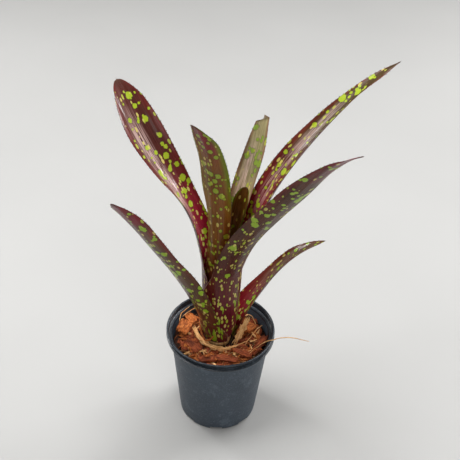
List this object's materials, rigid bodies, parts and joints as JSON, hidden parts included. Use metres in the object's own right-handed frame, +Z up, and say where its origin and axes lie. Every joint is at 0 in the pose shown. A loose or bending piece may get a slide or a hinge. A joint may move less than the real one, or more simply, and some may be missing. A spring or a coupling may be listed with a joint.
{
  "type": "potted bromeliad",
  "caption": "Strap-leaved bromeliad whose spotted leaves wrap one another into an upright tube, in husk chips in a round tapered pot. It stands on its flat base.",
  "frame": {"origin": "centre of the pot's flat base, on the surface that it stands on", "axes": "+Z up along the pot's axis, -Y towards the viewer who sees the plant face on, +X to that viewer's right"},
  "size_m": [0.2377, 0.1681, 0.3685],
  "materials": {
    "pot_plastic": "satin",
    "husk": "matte",
    "husk_chip": "matte",
    "straw": "matte",
    "stem_skin": "matte",
    "leaf_maroon": "satin",
    "leaf_grey": "satin",
    "leaf_olive": "satin",
    "leaf_young": "satin"
  },
  "bodies": {
    "root": {"pot": "pot_plastic", "husk_bed": "husk", "stem": "stem_skin", "leaf_lower_right": "leaf_maroon", "leaf_lower_left": "leaf_maroon", "leaf_mid_right": "leaf_maroon", "leaf_upper_left": "leaf_maroon", "leaf_upper_right": "leaf_maroon", "leaf_centre_back": "leaf_grey", "leaf_centre_left": "leaf_olive", "leaf_heart": "leaf_young", "chip_1": "husk_chip", "chip_2": "husk_chip", "chip_3": "husk_chip", "chip_4": "husk_chip", "chip_5": "husk_chip", "chip_6": "husk_chip", "chip_7": "husk_chip", "chip_8": "husk_chip", "chip_9": "husk_chip", "chip_10": "husk_chip", "straw_curved": "straw", "straw_tall": "straw", "twig_forked": "straw", "fibre_left_1": "straw", "fibre_left_2": "straw", "fibre_right_1": "straw", "fibre_right_2": "straw", "fibre_stray": "straw"}
  },
  "joints": []
}
